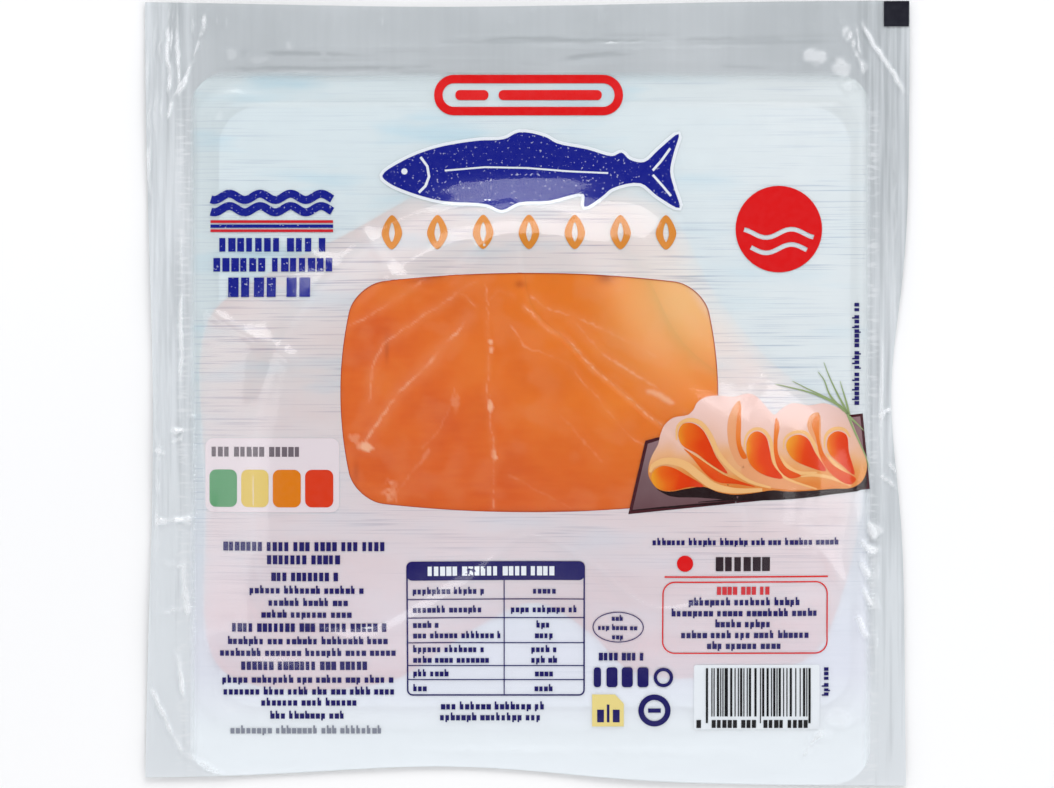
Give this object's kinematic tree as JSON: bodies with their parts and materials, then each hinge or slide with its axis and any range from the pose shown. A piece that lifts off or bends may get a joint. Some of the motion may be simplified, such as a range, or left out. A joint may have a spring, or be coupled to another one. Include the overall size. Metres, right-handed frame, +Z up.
{
  "type": "vacuum pack of smoked salmon",
  "caption": "Flat square vacuum pack of sliced smoked salmon: clear printed film with a viewing window, drawn down over the slices and a card, with a wavy sealed border.",
  "frame": {"origin": "centre of the pack's underside, on the surface it lies on", "axes": "+Z up, out of the printed side; +X to the right and +Y towards the top edge, as the printed side is read"},
  "size_m": [0.1802, 0.1849, 0.0098],
  "materials": {
    "clear_film": "clear heat-sealed film, glossy, slightly grey-blue where two layers are sealed",
    "backing_card": "white coated card",
    "ground_ink": "translucent white and pale blue printing under gloss film",
    "blue_ink": "printing ink under gloss film",
    "red_ink": "printing ink under gloss film",
    "amber_ink": "printing ink under gloss film",
    "mixed_ink": "printing inks of several colours under gloss film",
    "salmon": "moist smoked fish, slightly translucent"
  },
  "bodies": {
    "root": {"sealed_pack": "clear_film"}
  },
  "joints": []
}
